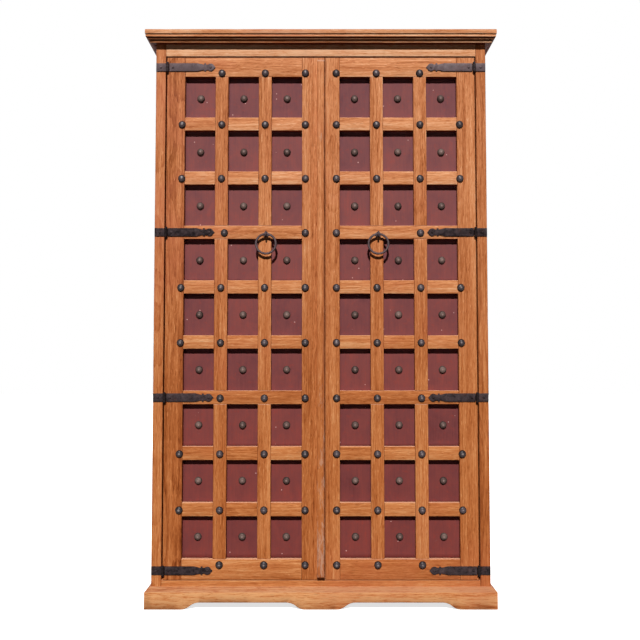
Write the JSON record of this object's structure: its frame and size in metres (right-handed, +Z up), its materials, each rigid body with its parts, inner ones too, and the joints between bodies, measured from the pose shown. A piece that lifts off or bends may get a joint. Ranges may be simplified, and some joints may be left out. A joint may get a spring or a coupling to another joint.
{
  "type": "two-door cabinet",
  "caption": "Tall free-standing wooden cupboard with studded, grid-panelled double doors on iron strap hinges, ring pulls, shelves, cornice and bracket plinth.",
  "frame": {"origin": "on the floor, under the middle of the whole cabinet's box", "axes": "+X to the viewer's right, +Z up, the doors face -Y"},
  "size_m": [1.201, 0.513, 1.9545],
  "materials": {
    "case_wood": "oiled, worn",
    "trim_wood": "oiled, worn",
    "door_wood": "oiled, worn",
    "inner_wood": "raw, planed",
    "panel_paint": "old matt paint",
    "iron": "forged, waxed",
    "panel_iron": "forged, dusty",
    "catch_plastic": "matt",
    "strike_steel": "zinc"
  },
  "bodies": {
    "case": {"post_front_left": "case_wood", "post_front_right": "case_wood", "post_back_left": "case_wood", "post_back_right": "case_wood", "face_rail_top": "case_wood", "face_rail_bottom": "case_wood", "side_rails": "case_wood", "side_panels": "case_wood", "back_rails": "inner_wood", "back_boards": "inner_wood", "top_board": "trim_wood", "cornice_front": "trim_wood", "cornice_left": "trim_wood", "cornice_right": "trim_wood", "plinth_front": "trim_wood", "plinth_left": "trim_wood", "plinth_right": "trim_wood", "plinth_back": "inner_wood", "floor_board": "inner_wood", "shelf_upper": "inner_wood", "shelf_middle": "inner_wood", "shelf_lower": "inner_wood", "shelf_cleats": "inner_wood", "door_stops": "inner_wood", "magnet_catches": "catch_plastic", "hinge_frame_leaves": "iron", "hinge_pins": "iron", "frame_leaf_nails": "iron"},
    "left_door": {"left_hinge_stile": "door_wood", "left_meeting_stile": "door_wood", "left_top_rail": "door_wood", "left_bottom_rail": "door_wood", "left_mid_rails": "door_wood", "left_muntins": "door_wood", "left_crossbars": "door_wood", "left_panels": "panel_paint", "left_frame_clavos": "iron", "left_panel_clavos": "panel_iron", "left_strap_hinges": "iron", "left_strap_nails": "iron", "left_pull_eye": "iron", "left_strike_plate": "strike_steel", "meeting_strip": "door_wood"},
    "right_door": {"right_hinge_stile": "door_wood", "right_meeting_stile": "door_wood", "right_top_rail": "door_wood", "right_bottom_rail": "door_wood", "right_mid_rails": "door_wood", "right_muntins": "door_wood", "right_crossbars": "door_wood", "right_panels": "panel_paint", "right_frame_clavos": "iron", "right_panel_clavos": "panel_iron", "right_strap_hinges": "iron", "right_strap_nails": "iron", "right_pull_eye": "iron", "right_strike_plate": "strike_steel"},
    "left_ring": {"left_ring": "iron"},
    "right_ring": {"right_ring": "iron"}
  },
  "joints": [
    {"name": "left_door_hinge", "type": "hinge", "parent": "case", "child": "left_door", "pos_m": [-0.5275, -0.229, 1.2607], "axis": [0, 0, -1], "range_deg": [0, 170]},
    {"name": "left_ring_swing", "type": "hinge", "parent": "left_door", "child": "left_ring", "pos_m": [-0.1865, -0.2375, 1.2527], "axis": [-1, 0, 0], "range_deg": [-7, 187]},
    {"name": "right_door_hinge", "type": "hinge", "parent": "case", "child": "right_door", "pos_m": [0.5275, -0.229, 1.2607], "axis": [0, 0, 1], "range_deg": [0, 170]},
    {"name": "right_ring_swing", "type": "hinge", "parent": "right_door", "child": "right_ring", "pos_m": [0.1955, -0.2375, 1.2527], "axis": [-1, 0, 0], "range_deg": [-7, 187]}
  ]
}
